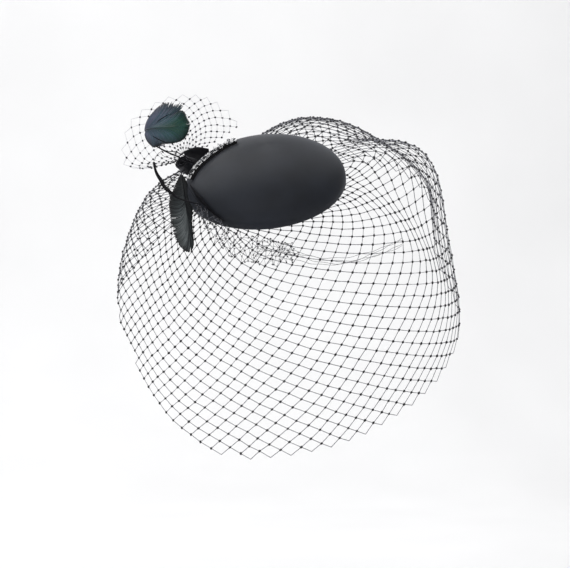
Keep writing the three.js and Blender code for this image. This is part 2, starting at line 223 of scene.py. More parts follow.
# Knotted nylon millinery net: a dull, slightly shiny twisted thread
def netMaterial():
    material, tree, shader = newMaterial("nylon_net_knotted", **{
        "Roughness": 0.48, "Specular IOR Level": 0.4, "Sheen Weight": 0.1})
    place = addNode(tree, "ShaderNodeTexCoord")
    noise = addNode(tree, "ShaderNodeTexNoise", {"Scale": 900.0, "Detail": 2.0},
                    {"Vector": place.outputs["Object"]})
    # threads are thicker than real ones, so they are paler than the knots to look as fine
    knot = addNode(tree, "ShaderNodeAttribute", attribute_name="knot")
    dense = addNode(tree, "ShaderNodeMath", {1: -0.5}, {0: knot.outputs["Fac"]},
                    operation="MULTIPLY")
    shade = addNode(tree, "ShaderNodeMath", links={0: noise.outputs["Fac"], 1: dense.outputs[0]},
                    operation="ADD")
    ramp = addNode(tree, "ShaderNodeValToRGB", links={"Fac": shade.outputs[0]})
    setRamp(ramp, ((0.08, "08080a"), (0.3, "303138"), (0.5, "5e5f68"), (0.95, "c8c9ce")))
    tree.links.new(ramp.outputs["Color"], shader.inputs["Base Color"])
    raiseGrain(tree, shader, noise.outputs["Fac"], 0.3, 0.1)
    return material


# Camera at the photograph's angle, and a plain pale stage

photoView = {"turn": -30, "lens": 97.67, "sensor": 36, "away": 1500, "right": 18.43, "below": 95.06}


def makeCamera():
    bpy.context.scene.view_settings.view_transform = "Standard"
    turn = math.radians(photoView["turn"])
    right = Vector((math.cos(turn), math.sin(turn), 0))
    back = Vector((math.sin(turn), -math.cos(turn), 0))
    data = bpy.data.cameras.new("photoCamera")
    data.lens = photoView["lens"]
    data.sensor_width = photoView["sensor"]
    camera = bpy.data.objects.new("photoCamera", data)
    camera.location = (back * photoView["away"] + right * photoView["right"]
                       - up * photoView["below"]) * mm
    camera.rotation_euler = (math.radians(90), 0, turn)
    bpy.context.scene.collection.objects.link(camera)
    bpy.context.scene.camera = camera


stage = {"floor": -0.5, "near": 2.6, "far": 2.2, "half": 4.0, "high": 3.4, "cove": 0.9}


def makeStage():
    deselectAll()
    bpy.ops.mesh.primitive_plane_add(size=1)
    floor = bpy.context.object
    floor.name = "paleStage"
    bpy.ops.object.mode_set(mode="EDIT")
    bpy.ops.mesh.select_all(action="SELECT")
    bpy.ops.transform.resize(value=(2 * stage["half"], stage["near"] + stage["far"], 1))
    bpy.ops.transform.translate(value=(0, (stage["far"] - stage["near"]) / 2, stage["floor"]))
    bpy.ops.object.mode_set(mode="OBJECT")
    for edge in floor.data.edges:
        edge.select = all(floor.data.vertices[v].co.y > 0 for v in edge.vertices)
    for vertex in floor.data.vertices:
        vertex.select = vertex.co.y > 0
    for face in floor.data.polygons:
        face.select = False
    bpy.ops.object.mode_set(mode="EDIT")
    bpy.ops.mesh.extrude_region_move(TRANSFORM_OT_translate={"value": (0, 0, stage["high"])})
    bpy.ops.object.mode_set(mode="OBJECT")
    applyModifier(floor, "BEVEL", width=stage["cove"], segments=16, limit_method="ANGLE")
    smoothShade(floor)
    placeIn(floor, sideFrame)
    # matt backdrop paper, with faint cloudy patches
    material, tree, shader = newMaterial("matte_paper_sweep", Roughness=0.9)
    speckle(tree, shader, ((0.3, "f2f2f2"), (0.7, "f7f7f7")), Scale=3.0)
    floor.data.materials.append(material)


# Softboxes: name, place in the side frame in metres, size, watts
softboxes = (
    ("keyLight", (-1.4, 0.4, 1.9), 1.6, 27),
    ("fillLight", (-0.6, -2.2, 0.9), 2.2, 14),
    ("topLight", (0.6, 0.3, 2.1), 2.0, 9),
    ("sweepLight", (0.0, 1.2, 1.6), 2.6, 10),
)


def makeLights():
    for name, place, size, watts in softboxes:
        data = bpy.data.lights.new(name, "AREA")
        data.energy = watts
        data.size = size
        light = bpy.data.objects.new(name, data)
        light.location = sideFrame @ Vector(place)
        target = sideFrame @ Vector((0, 0.05, -0.05))
        if name == "sweepLight":
            target = sideFrame @ Vector((0, 2.2, 0.0))
        light.rotation_euler = (target - light.location).to_track_quat("-Z", "Y").to_euler()
        bpy.context.scene.collection.objects.link(light)
    world = bpy.data.worlds.new("softRoom")
    world.use_nodes = True
    world.node_tree.nodes["Background"].inputs["Color"].default_value = hexColour("fbfbfd")
    world.node_tree.nodes["Background"].inputs["Strength"].default_value = 0.5
    bpy.context.scene.world = world


makeCamera()
makeStage()
makeLights()
print("camera, stage and lights made")

# Strands: threads, barbs and stems are closed tubes through points, gathered in one mesh

def newStrands():
    return {"points": [], "faces": [], "marks": []}


def addStrand(strands, points, widths, facing, flat=1.0, sides=4, mark=None):
    start = len(strands["points"])
    last = len(points) - 1
    for step, point in enumerate(points):
        ahead = points[min(step + 1, last)] - points[max(step - 1, 0)]
        across = ahead.cross(facing).normalized()
        lifted = across.cross(ahead).normalized()
        for k in range(sides):
            angle = tau * (k + 0.5) / sides
            offset = across * math.cos(angle) + lifted * (math.sin(angle) * flat)
            strands["points"].append(point + offset * widths[step])
            if mark:
                strands["marks"].append((mark[0], step / last, mark[1]))
    for step in range(last):
        a = start + step * sides
        for k in range(sides):
            n = (k + 1) % sides
            strands["faces"].append((a + k, a + n, a + sides + n, a + sides + k))
    end = start + last * sides
    strands["faces"].append(tuple(start + k for k in reversed(range(sides))))
    strands["faces"].append(tuple(end + k for k in range(sides)))


def meshPiece(name, points, faces):
    mesh = bpy.data.meshes.new(name)
    mesh.from_pydata(points, [], faces)
    piece = bpy.data.objects.new(name, mesh)
    bpy.context.scene.collection.objects.link(piece)
    return piece


def strandsPiece(name, strands):
    piece = meshPiece(name, strands["points"], strands["faces"])
    if strands["marks"]:
        marks = piece.data.attributes.new("barb", "FLOAT_VECTOR", "POINT")
        marks.data.foreach_set("vector", [x for mark in strands["marks"] for x in mark])
    faceOut(piece)
    smoothShade(piece)
    return piece


# Joined copies of one small piece, each set in place by its own matrix
def copiesPiece(name, model, places):
    points = [v.co.copy() for v in model.data.vertices]
    faces = [tuple(face.vertices) for face in model.data.polygons]
    allPoints, allFaces = [], []
    for matrix in places:
        start = len(allPoints)
        allPoints += [matrix @ point for point in points]
        allFaces += [tuple(start + v for v in face) for face in faces]
    bpy.data.objects.remove(model)
    return meshPiece(name, allPoints, allFaces)


def markAll(piece, name, value):
    marks = piece.data.attributes.new(name, "FLOAT", "POINT")
    marks.data.foreach_set("value", [value] * len(piece.data.vertices))
    return piece


def joinInto(piece, *others):
    makeActive(piece)
    for other in others:
        other.select_set(True)
    bpy.ops.object.join()
    return piece


# A matrix that stands a piece at a point, x along one direction and z near another
def standAt(point, along, facing, size):
    x = along.normalized()
    y = facing.cross(x).normalized()
    z = x.cross(y)
    turn = Matrix((x, y, z)).transposed().to_4x4()
    return Matrix.Translation(point) @ turn @ Matrix.Diagonal((*size, 1))


# Cap

cap = {"halfLength": 78, "halfWidth": 64.5, "height": 34, "edge": 5, "power": 2.3,
       "wall": 2.5, "around": 112, "rings": 18}


# Turn in degrees round the mouth, out from 0 at the top to 1 at the edge
def crownPoint(turn, out):
    angle = math.radians(turn)
    rise = (cap["height"] - cap["edge"]) * math.sqrt(max(0, 1 - out ** cap["power"]))
    return Vector((cap["halfLength"] * out * math.cos(angle),
                   cap["halfWidth"] * out * math.sin(angle), cap["edge"] + rise))


def crownNormal(turn, out):
    inner = min(out, 0.99)
    along = crownPoint(turn, inner + 0.01) - crownPoint(turn, inner - 0.01)
    sideways = crownPoint(turn + 1, inner) - crownPoint(turn - 1, inner)
    return along.cross(sideways).normalized()


def makeCap():
    deselectAll()
    bpy.ops.mesh.primitive_circle_add(vertices=cap["around"], radius=1)
    crown = bpy.context.object
    crown.name = "satinCap"
    bpy.ops.object.mode_set(mode="EDIT")
    bpy.ops.mesh.select_all(action="SELECT")
    bpy.ops.mesh.extrude_region_move(TRANSFORM_OT_translate={"value": (0, 0, cap["edge"] * mm)})
    before = Vector((1, 0, cap["edge"]))
    for ring in range(1, cap["rings"]):
        out = math.cos(ring / cap["rings"] * math.pi / 2)
        rise = crownPoint(0, out).z
        bpy.ops.mesh.extrude_region_move(
            TRANSFORM_OT_translate={"value": (0, 0, (rise - before.z) * mm)})
        bpy.ops.transform.resize(value=(out / before.x, out / before.x, 1))
        before = Vector((out, 0, rise))
    bpy.ops.mesh.extrude_region_move(
        TRANSFORM_OT_translate={"value": (0, 0, (cap["height"] - before.z) * mm)})
    bpy.ops.mesh.merge(type="CENTER")
    bpy.ops.mesh.select_all(action="SELECT")
    bpy.ops.mesh.normals_make_consistent(inside=False)
    bpy.ops.object.mode_set(mode="OBJECT")
    crown.scale = (cap["halfLength"] * mm, cap["halfWidth"] * mm, 1)
    makeActive(crown)
    bpy.ops.object.transform_apply(location=True, rotation=True, scale=True)
    applyModifier(crown, "SOLIDIFY", thickness=cap["wall"] * mm, offset=-1)
    applyModifier(crown, "BEVEL", width=0.9 * mm, segments=3, limit_method="ANGLE",
                  angle_limit=math.radians(50))
    applyModifier(crown, "SUBSURF", levels=1, render_levels=1)
    smoothShade(crown)
    placeIn(crown, capFrame)
    return crown


capSatin = satinMaterial("satin_polyester_woven", "16191f", "1e222a", 0.7, 0.16)
rosetteSatin = satinMaterial("satin_ribbon_woven", "131316", "212125", 0.5, 0.25)
finishPiece(makeCap(), capSatin, "satin", "hat_base")
print("cap made")

# Nets: knots stand on lines that run from the gathering to the hem, in rows counted from
# the hem, and each thread steps to the next line at each knot, so the threads cross in diamonds.
# Threads and knots are thicker than a real net's, which gives the sheets enough surface
veilThread = {"width": 0.58, "knotLong": 3.1, "knotWide": 2.4, "shake": 0.45, "tone": 0.0,
              "knotTone": 1.0}
fanThread = {"width": 0.38, "knotLong": 2.6, "knotWide": 2.0, "shake": 0.6, "tone": -0.9,
             "knotTone": 0.55}
bunchThread = {**veilThread, "width": 0.4, "shake": 0.2, "knotLong": 1.9, "knotWide": 1.5}


def knotModel():
    deselectAll()
    bpy.ops.mesh.primitive_ico_sphere_add(subdivisions=1, radius=0.5)
    return bpy.context.object


# places: knots by (line, row); tips are hem loops, which have no knot
def makeNet(name, places, tips, neighbour, facingAt, thread, seed):
    shaker = random.Random(seed)
    shaken = {}
    for key in sorted(places):
        shake = Vector([shaker.gauss(0, 0.5) for _ in range(3)]) * thread["shake"] * mm
        shaken[key] = places[key] + shake
    strands = newStrands()

    def joined(key, after):
        return after in shaken and not (key in tips and after in tips)

    for step in (1, -1):
        for key in sorted(shaken):
            if joined(key, neighbour(key, -step, -1)):
                continue
            path = [key]
            while joined(path[-1], neighbour(path[-1], step, 1)):
                path.append(neighbour(path[-1], step, 1))
            if len(path) > 1:
                widths = [thread["width"] * 0.55 * mm] * len(path)
                addStrand(strands, [shaken[k] for k in path], widths, facingAt(path[0]))
    threads = markAll(strandsPiece(name, strands), "knot", thread["tone"])
    matrices = []
    for key in sorted(shaken):
        near = [neighbour(key, a, b) for a, b in ((1, 1), (-1, 1), (1, -1), (-1, -1))]
        near = [shaken[k] for k in near if k in shaken]
        if key in tips or len(near) < 2:
            continue
        along = near[0] - shaken[key] + (shaken[key] - near[-1])
        size = [thread[k] * mm * shaker.uniform(0.85, 1.15)
                for k in ("knotLong", "knotWide", "knotWide")]
        matrices.append(standAt(shaken[key], along, facingAt(key), size))
    knots = markAll(copiesPiece(name + "Knots", knotModel(), matrices), "knot",
                    thread["knotTone"])
    smoothShade(knots)
    return joinInto(threads, knots)


# Veil: bearing round the upright middle line from the tipped side, reach and height of the
# hem, turn where the net leaves the cap, its lift there, its run outwards and its fall
veil = {"middle": (20, 55), "tuck": 0.07, "gatherX": -34, "gatherLong": 36, "gatherWide": 30,
        "gatherDrop": 4, "clear": 2, "drop": 3, "lines": 112, "halfRow": 6.25, "fine": 48,
        "loop": 4.25, "start": 64, "lap": 40, "lean": 0.05, "rows": 72, "free": 3}
veilFolds = (
    (-14, 137, -252, 235, -0.4, 50, 80),
    (15, 140, -242, 262, -0.1, 65, 80),
    (39, 151, -218, 295, 0, 80, 75),
    (61, 166, -181, 325, 0.05, 91, 73),
    (82, 173, -129, 350, 0.15, 64, 46),
    (101, 157, -65, 377, 0.23, 123, 66),
    (117, 164, 4, 404, 0.06, 67, 29),
    (137, 147, 36, 428, 0.23, 74, 31),
    (165, 125, 40, 450, 0.34, 31, 56),
    (201, 120, 10, 474, -0.2, 11, 28),
    (232, 136, -30, 498, -0.16, 34, 43),
    (254, 158, -75, 518, -0.09, 55, 53),
    (273, 169, -111, 536, -0.17, 43, 44),
    (294, 157, -174, 554, -0.5, 35, 60),
    (319, 151, -237, 573, -0.55, 40, 75),
)
veilLap = (360, 0, 0, 360, 0, 0, 0)
# Half rows that the hem is cut off up its side, at the stations from the back on the left;
# the rest of the hem follows a row
hemCut = (40, 36, 30, 22, 12, 3, 0, 0, 0, 0, 0, 0, 0, 0, 0, 0)
hemCutFirst = 9


# One line of the veil from the gathering under the cap out to the hem, as fine points
def veilLine(share):
    bearing, reach, height, turn, lift, run, fall = smoothRow(
        veilFolds, share * len(veilFolds), True, veilLap)
    bearing, turn = math.radians(bearing), math.radians(turn)
    outward = sideFrame.to_3x3() @ Vector((math.sin(bearing), -math.cos(bearing), 0))
    hem = sidePoint(*veil["middle"], height) + outward * (reach * mm)
    gathered = capPoint(veil["gatherX"] + veil["gatherLong"] * math.cos(turn),
                        veil["gatherWide"] * math.sin(turn), -veil["gatherDrop"])
    leaving = capPoint((cap["halfLength"] + veil["clear"]) * math.cos(turn),
                       (cap["halfWidth"] + veil["clear"]) * math.sin(turn), -veil["drop"])
    flat = Vector((cap["halfWidth"] * math.cos(turn), cap["halfLength"] * math.sin(turn), 0))
    flat = flat.normalized()
    puff = leaving + capDirection(flat.x, flat.y, lift) * (run * mm)
    above = hem + (up + outward * veil["tuck"]) * (fall * mm)
    points = [gathered]
    for step in range(veil["fine"] + 1):
        t = step / veil["fine"]
        s = 1 - t
        points.append(leaving * s ** 3 + puff * (3 * s * s * t) + above * (3 * s * t * t)
                      + hem * t ** 3)
    return points


# The point that lies a length along a line of points; past its end it goes straight on
def pointAlong(points, length):
    for a, b in zip(points, points[1:]):
        span = (b - a).length
        if length <= span or b is points[-1]:
            return a + (b - a) * (length / span)
        length -= span


def lineLength(points):
    return sum((b - a).length for a, b in zip(points, points[1:]))


# Half rows cut off the net at a share of the way round
def cutAt(share):
    stations = len(veilFolds)
    place = (share % 1) * stations
    if place < hemCutFirst - 0.5:
        place += stations
    return smoothValue(hemCut, max(0, place - hemCutFirst))


def makeVeil():
    sampled = 3 * veil["lines"]
    lines = [veilLine(k / sampled) for k in range(sampled)]
    lengths = [lineLength(line) for line in lines]

    def pointUp(share, height):
        place = (share % 1) * sampled
        first = int(place)
        ends = [(k % sampled, f) for k, f in ((first, 1 - place + first),
                                              (first + 1, place - first))]
        point = sum((pointAlong(lines[k], max(lengths[k] - height * mm, 0)) * f
                     for k, f in ends), Vector())
        return point, sum(lengths[k] * f for k, f in ends)

    def neighbour(key, step, rise):
        line, row = key[0] + step, key[1] + rise
        lap = veil["lap"] * (line // veil["lines"])
        return line % veil["lines"], row + lap

    points, inside = {}, set()
    for line in range(veil["lines"]):
        for row in range(line % 2 - 2, veil["rows"], 2):
            share = (line + veil["start"]) / veil["lines"]
            share -= veil["lean"] * row * (0.5 + 0.5 * math.cos(tau * (share - 0.03))) \
                / veil["lines"]
            above = row - cutAt(share)
            height = above * veil["halfRow"] - veil["loop"]
            point, length = pointUp(share, height)
            if height * mm < length - veil["free"] * mm:
                points[line, row] = point
                if above > 0.5:
                    inside.add((line, row))
    places, tips = {}, set()
    for key, point in points.items():
        near = sum(neighbour(key, a, b) in inside for a in (-1, 1) for b in (-1, 1))
        if key in inside or near >= 2:
            places[key] = point
        if key not in inside and near >= 2:
            tips.add(key)
    middle = sidePoint(*veil["middle"], -60)
    return makeNet("birdcageVeil", places, tips, neighbour,
                   lambda key: places[key] - middle, veilThread, 11)


# Fan: lines from a small gathered root to a cupped edge, left end over the top to the right
fan = {"base": (-80, 39, 30), "root": 7, "cup": 10, "lines": 31, "rows": 13}
fanEdge = (
    (-116, 25, 19),
    (-142, 33, 24),
    (-139, 48, 64),
    (-113, 56, 88),
    (-78, 64, 97),
    (-50, 66, 89),
    (-27, 60, 66),
)


def fanPoint(across, out):
    far = Vector(smoothRow(fanEdge, across * (len(fanEdge) - 1)))
    base = Vector(fan["base"])
    root = base + (far - base).normalized() * fan["root"]
    point = root.lerp(far, out)
    point.y += fan["cup"] * math.sin(math.pi * out)
    return sidePoint(*point)


def makeFan():
    places, tips = {}, set()
    for line in range(fan["lines"]):
        for row in range(line % 2, fan["rows"] + 1, 2):
            across = line / (fan["lines"] - 1)
            places[line, row] = fanPoint(across, row / fan["rows"])
            if row == fan["rows"]:
                tips.add((line, row))
    return makeNet("fanNet", places, tips, lambda key, a, b: (key[0] + a, key[1] + b),
                   lambda key: frontward, fanThread, 12)


nylonNet = netMaterial()
veilNet = finishPiece(makeVeil(), nylonNet, "net", "birdcage_veil")
fanNet = finishPiece(makeFan(), nylonNet, "net", "veil_fan")
print("nets made")

# Braid: a flat black band beside the cap's rear edge, under rows of faceted beads
braid = {"route": ((182, 0.905), (172, 0.825), (161, 0.738), (147, 0.675), (131, 0.65),
                   (119, 0.635)),
         "half": 3.6, "stand": 2.6, "tilt": 25, "steps": 60, "bead": (1.7, 1.2, 1.2)}
# Rows of beads: place across the braid, height over it, spacing and wave
beadRows = ((2.6, 1.0, 1.5, 0.35), (1.3, 1.2, 1.7, 0.3), (-0.9, 0.9, 1.6, 0.2))
# Open rings of beads between the outer rows and the inner one
beadLoop = {"pitch": 5.2, "count": 9, "long": 0.42, "half": 1.9, "across": 0.9, "rise": 1.6,
            "bead": (1.25, 0.9, 0.9)}
# Small clusters that stand up, more of them near the end: share of the length and place across
beadCluster = {"places": ((0.995, 2.2), (0.99, -1.0), (0.95, 3.2), (0.86, 3.6), (0.89, 0.6),
                          (0.7, 3.6), (0.62, 3.4), (0.97, 0.6), (0.75, 0.4)),
               "count": 4, "long": 0.014, "half": 0.9, "rise": 1.6, "bead": (1.6, 1.2, 1.2)}


# Frame of the braid at a share of its length: middle, ahead, across and its own upwards
def braidAt(share):
    share = max(0, min(1, share))
    near = [smoothRow(braid["route"], max(0, min(1, share + step)) * (len(braid["route"]) - 1))
            for step in (-0.01, 0, 0.01)]
    ahead = crownPoint(*near[2]) - crownPoint(*near[0])
    normal = crownNormal(*near[1])
    ahead = (ahead - normal * ahead.dot(normal)).normalized()
    middle = crownPoint(*near[1]) + normal * braid["stand"]
    tilted = Matrix.Rotation(math.radians(braid["tilt"]), 3, ahead) @ normal
    return middle, ahead, tilted.cross(ahead), tilted


def makeBand():
    deselectAll()
    bpy.ops.mesh.primitive_grid_add(x_subdivisions=braid["steps"], y_subdivisions=4, size=1)
    band = bpy.context.object
    band.name = "braidBand"
    for vertex in band.data.vertices:
        place, ahead, across, normal = braidAt(vertex.co.x + 0.5)
        sag = 0.6 * (4 * vertex.co.y ** 2)
        vertex.co = (place + across * (vertex.co.y * 2 * braid["half"]) - normal * sag) * mm
    applyModifier(band, "SOLIDIFY", thickness=0.8 * mm, offset=0)
    applyModifier(band, "BEVEL", width=0.15 * mm, segments=2, limit_method="ANGLE")
    faceOut(band)
    smoothShade(band, 40)
    placeIn(band, capFrame)
    return band


def makeBeads():
    picker = random.Random(5)
    places = []
    points = [braidAt(k / 100)[0] for k in range(101)]
    total = sum((b - a).length for a, b in zip(points, points[1:]))

    def bead(share, sideways, rise, swing, size):
        place, ahead, across, normal = braidAt(share)
        centre = (place + across * sideways + normal * rise) * mm
        along = ahead * math.cos(swing) + across * math.sin(swing)
        along += normal * picker.uniform(-0.3, 0.3)
        turned = Matrix.Rotation(picker.uniform(0, tau), 4, "X")
        places.append(standAt(centre, along, normal, [v * mm for v in size]) @ turned)

    for sideways, rise, pitch, wave in beadRows:
        count = int(total / pitch)
        for k in range(count):
            share = (k + 0.5) / count
            grow = (0.85 + 0.3 * share) * picker.uniform(0.85, 1.15)
            drift = sideways * (0.85 + 0.15 * share) + wave * math.sin(k * 1.3)
            bead(share + picker.uniform(-0.1, 0.1) / count, drift, rise, picker.uniform(-0.7, 0.7),
                 [v * grow for v in braid["bead"]])
    loops = int(total / beadLoop["pitch"])
    for k in range(loops):
        for step in range(beadLoop["count"]):
            angle = tau * step / beadLoop["count"]
            bead((k + 0.5 + beadLoop["long"] * math.cos(angle)) / loops,
                 beadLoop["across"] + beadLoop["half"] * math.sin(angle), beadLoop["rise"],
                 angle + math.pi / 2, beadLoop["bead"])
    for share, sideways in beadCluster["places"]:
        for k in range(beadCluster["count"]):
            angle = tau * k / beadCluster["count"]
            bead(share + beadCluster["long"] * math.cos(angle),
                 sideways + beadCluster["half"] * math.sin(angle),
                 beadCluster["rise"] + 0.5 * math.sin(angle * 2), angle, beadCluster["bead"])
    deselectAll()
    bpy.ops.mesh.primitive_ico_sphere_add(subdivisions=1, radius=0.5)
    beads = copiesPiece("braidBeads", bpy.context.object, places)
    placeIn(beads, capFrame)
    return beads


# Faceted pressed-glass beads with a grey metallic lustre, coloured near-black to silver grey, with
# white specks that are painted glints
def beadMaterial():
    material, tree, shader = newMaterial("glass_beads_lustred_painted_glints", **{
        "Metallic": 0.4, "Roughness": 0.16, "Coat Weight": 0.5, "Coat Roughness": 0.05})
    # the white end of this ramp paints glints into the bead colour
    speckle(tree, shader, ((0.38, "141517"), (0.46, "8f9399"), (0.53, "ffffff")),
            Scale=420.0, Detail=0.0)
    return material


# Dyed grosgrain ribbon: matt, with a fine uneven grain
def bandMaterial():
    material, tree, shader = newMaterial("grosgrain_ribbon_dyed", **{
        "Roughness": 0.7, "Specular IOR Level": 0.15})
    ribs = speckle(tree, shader, ((0.3, "050506"), (0.7, "0e0e10")), Scale=1500.0, Detail=1.0)
    raiseGrain(tree, shader, ribs.outputs["Fac"], 0.3, 0.1)
    return material


finishPiece(makeBand(), bandMaterial(), "band", "bead_braid")
finishPiece(makeBeads(), beadMaterial(), "beads", "bead_braid")
print("braid made")

# Rosette: a wound coil of satin ribbon in front and a folded leaf of it behind
coil = {"x": -80.5, "y": 19, "z": 22, "radius": 8, "core": 1.6, "height": 12, "laps": 3.2,
        "wall": 0.7, "flare": 1.2, "axis": (-0.45, -0.75, 0.48)}
petal = {"x": -65, "y": 51, "rise": 8.6, "length": 25, "height": 15, "depth": 6.6,
         "wall": 1.2, "pinch": 0.45}
# Short leaf of black satin in the dark gap between them, put there as painted shade: place and
# size, in the turned frame
shadeFillLeaf = {"place": (-73, 21, 22.5), "turn": 35, "length": 0.62, "height": 0.1}


def makeCoil():
    deselectAll()
    bpy.ops.mesh.primitive_grid_add(x_subdivisions=110, y_subdivisions=6, size=1)
    ribbon = bpy.context.object
    ribbon.name = "rosetteCoil"
    for vertex in ribbon.data.vertices:
        wound, along = vertex.co.x + 0.5, vertex.co.y
        angle = tau * coil["laps"] * wound
        reach = coil["core"] + (coil["radius"] - coil["wall"] - coil["core"]) * wound ** 0.85
        reach += 0.25 * math.sin(angle * 2.4) * wound
        lean = coil["flare"] * (along + 0.5) ** 3 * wound
        high = along * coil["height"] * (1 - 0.18 * (1 - wound)) + 0.5 * math.sin(angle * 1.5)
        vertex.co = Vector(((reach + lean * 0.6) * math.cos(angle),
                            (reach + lean * 0.6) * math.sin(angle), high)) * mm
    applyModifier(ribbon, "SOLIDIFY", thickness=coil["wall"] * mm, offset=0)
    applyModifier(ribbon, "SUBSURF", levels=1, render_levels=1)
    faceOut(ribbon)
    smoothShade(ribbon)
    axis = Vector(coil["axis"]).normalized()
    stand = Matrix.Translation(Vector((coil["x"], coil["y"], coil["z"])) * mm)
    turned = axis.to_track_quat("Z", "Y").to_matrix().to_4x4()
    placeIn(ribbon, sideFrame @ stand @ turned)
    return ribbon


# A loop of ribbon, pinched at both ends, that stands on the cap's edge
def makeLeaf(name, lengthShare, shift, tuck, seed):
    deselectAll()
    bpy.ops.mesh.primitive_grid_add(x_subdivisions=24, y_subdivisions=28, size=1)
    leaf = bpy.context.object
    leaf.name = name
    wave = random.Random(seed).uniform(0, tau)
    for vertex in leaf.data.vertices:
        along, wound = vertex.co.x * 2, vertex.co.y + 0.5
        angle = math.pi * (1.18 * wound - 0.09)
        narrow = 1 - (1 - petal["pinch"]) * abs(along) ** 1.6
        high = math.sin(angle) * petal["height"] * (0.62 + 0.38 * narrow) * (1 - tuck)
        crease = 0.35 * math.sin(along * 4 + wave) * math.sin(angle)
        vertex.co = Vector((
            along * petal["length"] / 2 * lengthShare + shift,
            -math.cos(angle) * (petal["depth"] / 2 - petal["wall"] / 2) * narrow * (1 - tuck)
            + crease, high - petal["height"] / 2)) * mm
    applyModifier(leaf, "SOLIDIFY", thickness=petal["wall"] * 0.6 * mm, offset=0)
    applyModifier(leaf, "SUBSURF", levels=1, render_levels=1)
    faceOut(leaf)
    smoothShade(leaf)
    return leaf


def makeFold():
    outer = makeLeaf("rosetteFold", 1.0, 0, 0, 3)
    inner = makeLeaf("foldInner", 0.82, -1.5, 0.3, 4)
    joinInto(outer, inner)
    foot = Vector((petal["x"], petal["y"], petal["rise"])) * mm
    placeIn(outer, capFrame @ Matrix.Translation(foot))
    # this short leaf fills the dark gap behind braid and coil, standing in for shade there
    leaf = makeLeaf("shadeFillLeaf", shadeFillLeaf["length"], 0, shadeFillLeaf["height"], 6)
    placeIn(leaf, sideFrame @ Matrix.Translation(Vector(shadeFillLeaf["place"]) * mm)
            @ Matrix.Rotation(math.radians(shadeFillLeaf["turn"]), 4, "Y"))
    return joinInto(outer, leaf)


finishPiece(makeCoil(), rosetteSatin, "rosette", "rosette_coil")
finishPiece(makeFold(), rosetteSatin, "rosette", "rosette_fold")
print("rosette made")

# Feathers: barbs run from the shaft to an outline, each a flat tapered strand


def sideLine(rows, share):
    return sidePoint(*smoothRow(rows, max(0, min(1, share)) * (len(rows) - 1)))


# Shaft and outline are points in the side frame, in mm; from and to are the stretch of the
# shaft that carries barbs
def addBarbs(strands, shaft, outline, count, look, tones, seed):
    picker = random.Random(seed)
    clumps = [picker.uniform(-1, 1) for _ in range(look["clumps"] + 2)]
    for k in range(count):
        share = (k + 0.5) / count
        root = look["from"] + (look["to"] - look["from"]) * share
        clump = share * look["clumps"]
        pull = clumps[int(clump)] * (1 - abs(2 * (clump % 1) - 1)) * look["split"]
        start = sideLine(shaft, root)
        ahead = (sideLine(shaft, min(root + 0.04, 1)) - sideLine(shaft, root - 0.04)).normalized()
        end = sideLine(outline, share + pull / count + picker.gauss(0, look["fray"] / count))
        span = end - start
        end = start + span * (1 + picker.gauss(0, look["ragged"] * (0.15 + share ** look["wild"])))
        reach = span.length
        bend = start + ahead * reach * look["sweep"] + span * look["spread"]
        bend += frontward * look["cup"] * mm * reach / (20 * mm)
        wander = frontward * picker.gauss(0, look["loose"] * mm)
        points, widths = [], []
        for step in range(look["steps"] + 1):
            t = step / look["steps"]
            point = start * (1 - t) ** 2 + bend * (2 * t * (1 - t)) + end * t * t
            points.append(point + wander * t)
            widths.append(look["width"] / 2 * mm * (0.55 + 0.45 * t) * (1 - 0.6 * t ** 24))
        tone = tones[0] + (tones[1] - tones[0]) * share
        addStrand(strands, points, widths, frontward, 0.18, 4, (tone, picker.random()))


def stemStrand(name, rows, radii, sides=6, flat=1.0, steps=24):
    strands = newStrands()
    points = [sideLine(rows, k / steps) for k in range(steps + 1)]
    widths = [smoothValue(radii, k / steps * (len(radii) - 1)) * mm for k in range(steps + 1)]
    addStrand(strands, points, widths, frontward, flat, sides)
    return strandsPiece(name, strands)


# Curled body feather: shaft, upper edge, the lobe beside its notch and the two lower edges
curled = {
    "shaft": ((-118.2, 15, 53.4), (-117.5, 12, 55.5), (-111.1, 6, 56.2), (-102.9, 1, 56.1),
              (-94.9, -2, 56.4), (-87.1, -3, 57.4), (-79.5, -1, 59.1), (-73.9, 3, 60.9)),
    "upper": ((-119.1, 15, 55.8), (-118, 13, 60.5), (-115.4, 11, 66.2), (-111.8, 9, 70.8),
              (-107.4, 8, 75.6), (-101.4, 7, 80.1), (-94.5, 6, 80.9), (-87.7, 5, 79.3),
              (-81.3, 5, 76.7)),
    "lobe": ((-88.5, 0, 70.2), (-86.8, 0, 71.0), (-84.4, 0, 72.6), (-81.1, 1, 73.1),
             (-78.7, 2, 70.5), (-76.8, 3, 66.3), (-74, 4, 61.5)),
    "lower": ((-118.9, 16, 50.5), (-117.2, 15, 45.8), (-113.9, 14, 41.6), (-109.7, 12, 38.6),
              (-104.7, 11, 40.2), (-98.5, 7, 41.4), (-91.4, 3, 41.4), (-84.5, 1, 42.8),
              (-79.6, 1, 45.7), (-76.3, 2, 50.6), (-74.9, 3, 55.6), (-73.7, 4, 60.1)),
    "back": ((-119, 16, 53), (-118.4, 18, 49.2), (-116.1, 18, 44.8), (-113, 17, 41.3),
             (-109.9, 15, 38.7), (-104.8, 13, 40), (-98.7, 10, 41.1)),
    "stem": ((-70.4, 9, 23), (-80.1, 9, 26.4), (-87.4, 9, 29.8), (-96.8, 10, 33.8),
             (-106.2, 12, 38.9), (-113, 16, 42), (-117.5, 17, 48), (-118.2, 15, 53.4)),
    "spare": ((-72.3, 8, 24.9), (-82, 8, 31.1), (-88.8, 8, 33.7), (-95.7, 9, 34.5),
              (-100.7, 10, 36.3)),
    "creases": (((-106, -5, 60), (-103.2, -6, 63.1), (-96.8, -6, 67.2), (-90.7, -4, 70)),
                ((-112.3, 8, 49.9), (-107.5, 5, 47.3), (-101.8, 1.5, 44.1), (-94.9, -1, 41.8))),
}
